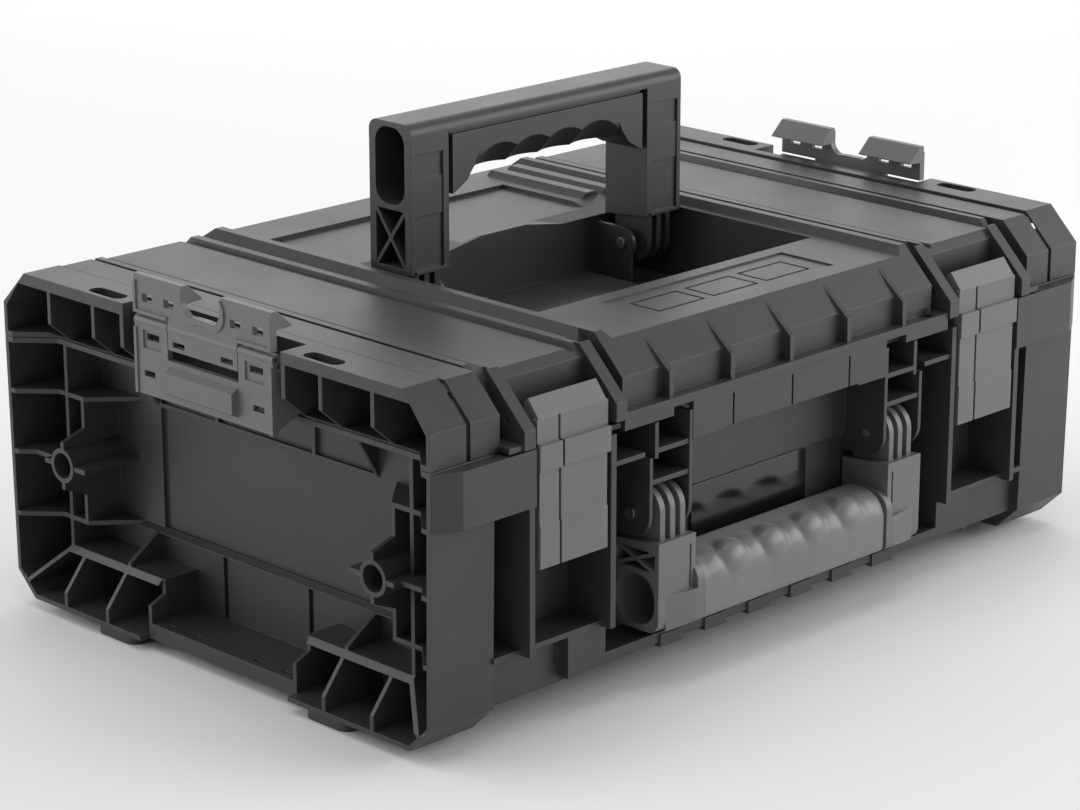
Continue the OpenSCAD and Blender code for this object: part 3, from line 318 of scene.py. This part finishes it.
def corner_arc(centre, radius, first):
    """Points of a quarter turn in (y, z), from the angle first, in degrees, with their outward normals."""
    found = []
    for i in range(CORNER_STEPS + 1):
        angle = math.radians(first + 90 * i / CORNER_STEPS)
        normal = (math.cos(angle), math.sin(angle))
        found.append(((centre[0] + radius * normal[0], centre[1] + radius * normal[1]), normal))
    return found


def lobe(distance, half_width, fullness):
    """A smooth dome's height, from 1 in its middle to 0 at half_width."""
    share = max(0.0, 1.0 - (distance / half_width) ** 2)
    return share ** fullness


def soft_bar(name, low, high, settings):
    """The grip's skin: rings of one section along X, pushed out where the domes and pads stand."""
    front, back = low[1] + FACE_BACK, high[1]
    bottom, top = low[2], high[2] - settings.dome_height * 0.55
    section = (corner_arc((front + NOSE_RADIUS, top - NOSE_RADIUS), NOSE_RADIUS, 90)
        + corner_arc((front + FOOT_RADIUS, bottom + FOOT_RADIUS), FOOT_RADIUS, 180)
        + corner_arc((back - BACK_RADIUS, bottom + BACK_RADIUS), BACK_RADIUS, 270)
        + corner_arc((back - BACK_RADIUS, top - BACK_RADIUS), BACK_RADIUS, 0))
    # The middle of the nose, which the domes and pads are centred on
    nose_sag = NOSE_RADIUS * (1 - math.sqrt(0.5))
    nose = (front + nose_sag, top - nose_sag)
    half = high[0]
    count = round(2 * half / RING_STEP)
    bm = bmesh.new()
    rings = []
    for i in range(count + 1):
        x = -half + 2 * half * i / count
        end = max(0.0, 1.0 - (half - abs(x)) / END_LENGTH)
        inset = END_DEPTH * (1.0 - math.sqrt(max(0.0, 1.0 - end * end)))
        ring = []
        for (y, z), normal in section:
            away = math.hypot(y - nose[0], z - nose[1])
            push = 0.0
            for k in range(DOMES):
                middle = (k - (DOMES - 1) / 2) * settings.dome_pitch
                push += settings.dome_height * lobe(math.hypot(x - middle, away), DOME_REACH, DOME_FULLNESS)
            for k in range(DOMES + 1):
                middle = (k - DOMES / 2) * settings.dome_pitch
                push += (PAD_HEIGHT * lobe(x - middle, PAD_HALF_LENGTH, PAD_FULLNESS)
                    * lobe(away, PAD_REACH, PAD_FULLNESS))
            # Less of a dome stands forward than up, so that it stays behind the handle's front
            forward = push * (0.45 + 0.55 * max(0.0, normal[1]))
            ring.append(bm.verts.new((x, y + normal[0] * (forward - inset), z + normal[1] * (push - inset))))
        rings.append(ring)
    size = len(section)
    for first, second in zip(rings, rings[1:]):
        for j in range(size):
            k = (j + 1) % size
            bm.faces.new((first[j], first[k], second[k], second[j]))
    bm.faces.new(rings[0][::-1])
    bm.faces.new(rings[-1])
    bmesh.ops.recalc_face_normals(bm, faces=bm.faces)
    mesh = bpy.data.meshes.new(name)
    bm.to_mesh(mesh)
    bm.free()
    for polygon in mesh.polygons:
        polygon.use_smooth = len(polygon.vertices) == 4
    grip = bpy.data.objects.new(name, mesh)
    bpy.context.scene.collection.objects.link(grip)
    return grip


# ---------- operators ----------

class CASE_OT_shells(bpy.types.Operator):
    """Give the base, the lid and the top handle their grained black plastic"""
    bl_idname = "tool_case.dress_shells"
    bl_label = "Dress Base and Lid"

    def execute(self, context):
        settings = finishes()
        grain = settings.grain_size
        dress(["base_shell", "lid_shell"],
            moulded_plastic("case_plastic", settings.shell_colour, 0.44, grain))
        dress(["top_handle", "top_handle_grip"],
            moulded_plastic("handle_plastic", settings.handle_colour, 0.42, grain * 0.8))
        return {"FINISHED"}


class CASE_OT_trim(bpy.types.Operator):
    """Give the latches, the clips and the front handle their lighter grey plastic"""
    bl_idname = "tool_case.dress_trim"
    bl_label = "Dress Trim"

    def execute(self, context):
        names = [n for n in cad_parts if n.startswith(("latch_left", "latch_right",
            "clip_plate", "stack_clip"))] + ["front_handle"]
        dress(names, moulded_plastic("trim_plastic", finishes().trim_colour, 0.44,
            finishes().grain_size, 0.05, 0.35))
        dress(["label_plate"], gloss_plate())
        return {"FINISHED"}


class CASE_OT_front_grip(bpy.types.Operator):
    """Mould the soft front grip: a rounded bar with a row of finger domes and pads along its edge"""
    bl_idname = "tool_case.make_front_grip"
    bl_label = "Make Front Grip"

    def execute(self, context):
        low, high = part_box("front_handle_grip")
        grip = soft_bar("front_grip", low, high, finishes())
        grip.data.materials.append(soft_grip())
        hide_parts("front_handle_grip")
        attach(grip, "front_handle")
        return {"FINISHED"}


class CASE_OT_pins(bpy.types.Operator):
    """Give every pin its drawn steel"""
    bl_idname = "tool_case.dress_pins"
    bl_label = "Dress Pins"

    def execute(self, context):
        dress([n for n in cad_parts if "_pin" in n], pin_steel())
        return {"FINISHED"}


# The place that the photograph was taken from
CAMERA_PLACE = Vector((-1.125, -1.108, 0.5765))
CAMERA_AZIMUTH = math.radians(-45.14)
CAMERA_ELEVATION = math.radians(17.41)
SENSOR_WIDTH = 36.0  # millimetres
FLOOR_HALF = 9.0


class CASE_OT_studio(bpy.types.Operator):
    """Set the floor, the soft lights, the sky and the camera"""
    bl_idname = "tool_case.set_studio"
    bl_label = "Set Studio"

    def execute(self, context):
        settings = context.scene.studio_settings
        self.camera(context, settings.lens)
        self.floor(context, settings.floor_colour)
        self.sky(context, settings.sky_strength)
        self.lamps(context, settings.box_brightness)
        context.scene.view_settings.view_transform = "Standard"
        return {"FINISHED"}

    @staticmethod
    def camera(context, lens):
        data = bpy.data.cameras.new("camera")
        data.sensor_width = SENSOR_WIDTH
        data.lens = lens
        data.clip_start = 0.05
        camera = bpy.data.objects.new("camera", data)
        context.scene.collection.objects.link(camera)
        back = Vector((math.sin(CAMERA_AZIMUTH) * math.cos(CAMERA_ELEVATION),
            -math.cos(CAMERA_AZIMUTH) * math.cos(CAMERA_ELEVATION), math.sin(CAMERA_ELEVATION)))
        turn = (-back).to_track_quat("-Z", "Y").to_matrix().to_4x4()
        camera.matrix_world = Matrix.Translation(CAMERA_PLACE) @ turn
        context.scene.camera = camera

    @staticmethod
    def floor(context, colour):
        """A plain floor, so wide that no edge of it shows."""
        half = FLOOR_HALF
        mesh = bpy.data.meshes.new("floor")
        mesh.from_pydata([(-half, -half, 0), (half, -half, 0), (half, half, 0), (-half, half, 0)], [],
            [(0, 1, 2, 3)])
        floor = bpy.data.objects.new("floor", mesh)
        context.scene.collection.objects.link(floor)
        material = bpy.data.materials.new("floor")
        material.use_nodes = True
        tree = material.node_tree
        tree.nodes.clear()
        plain = add_node(tree, "ShaderNodeBsdfDiffuse", None, {"Color": rgba(colour)})
        output = add_node(tree, "ShaderNodeOutputMaterial")
        tree.links.new(plain.outputs[0], output.inputs[0])
        mesh.materials.append(material)

    @staticmethod
    def sky(context, strength):
        world = bpy.data.worlds.new("sky")
        world.use_nodes = True
        context.scene.world = world
        tree = world.node_tree
        tree.nodes.clear()
        path = add_node(tree, "ShaderNodeLightPath")
        seen = Number(tree, path.outputs["Is Camera Ray"])
        light = add_node(tree, "ShaderNodeBackground", None, {"Color": (1, 1, 1, 1),
            "Strength": strength})
        white = add_node(tree, "ShaderNodeBackground", None, {"Color": (1, 1, 1, 1), "Strength": 1.0})
        both = add_node(tree, "ShaderNodeMixShader", None, {0: seen, 1: light.outputs[0],
            2: white.outputs[0]})
        output = add_node(tree, "ShaderNodeOutputWorld")
        tree.links.new(both.outputs[0], output.inputs[0])

    @staticmethod
    def lamps(context, brightness):
        """Soft boxes: one on each side, which the upright faces mirror, one behind and one overhead."""
        target = Vector((0, 0, 0.09))
        boxes = [
            ("right_front", (1.15, -1.15, 0.60), (1.7, 1.1), 2.6),
            ("left_back", (-1.20, 1.20, 0.60), (1.7, 1.1), 1.7),
            ("behind", (1.35, 1.35, 0.75), (2.2, 1.4), 1.1),
            ("overhead", (-0.1, 0.1, 2.1), (1.8, 1.8), 1.3),
        ]
        for name, place, (width, height), radiance in boxes:
            data = bpy.data.lights.new(name, "AREA")
            data.shape = "RECTANGLE"
            data.size = width
            data.size_y = height
            data.energy = brightness * radiance * math.pi * width * height
            lamp = bpy.data.objects.new(name, data)
            lamp.location = place
            lamp.rotation_euler = (target - Vector(place)).to_track_quat("-Z", "Y").to_euler()
            context.scene.collection.objects.link(lamp)


class CASE_PT_panel(bpy.types.Panel):
    """Lists the pieces that can be dressed"""
    bl_idname = "CASE_PT_panel"
    bl_label = "Tool Case"
    bl_space_type = "VIEW_3D"
    bl_region_type = "UI"
    bl_category = "Tool Case"

    def draw(self, context):
        for operator in OPERATORS:
            self.layout.operator(operator.bl_idname)


OPERATORS = (CASE_OT_shells, CASE_OT_trim, CASE_OT_front_grip, CASE_OT_pins, CASE_OT_studio)
CLASSES = (CaseFinishes, StudioSettings, *OPERATORS, CASE_PT_panel)


def register():
    for cls in CLASSES:
        bpy.utils.register_class(cls)
    bpy.types.Scene.case_finishes = bpy.props.PointerProperty(type=CaseFinishes)
    bpy.types.Scene.studio_settings = bpy.props.PointerProperty(type=StudioSettings)


def unregister():
    del bpy.types.Scene.studio_settings
    del bpy.types.Scene.case_finishes
    for cls in reversed(CLASSES):
        bpy.utils.unregister_class(cls)


def main():
    register()
    bpy.ops.tool_case.dress_shells()
    bpy.ops.tool_case.dress_trim()
    bpy.ops.tool_case.make_front_grip()
    bpy.ops.tool_case.dress_pins()
    bpy.ops.tool_case.set_studio()


if __name__ == "__main__":
    main()
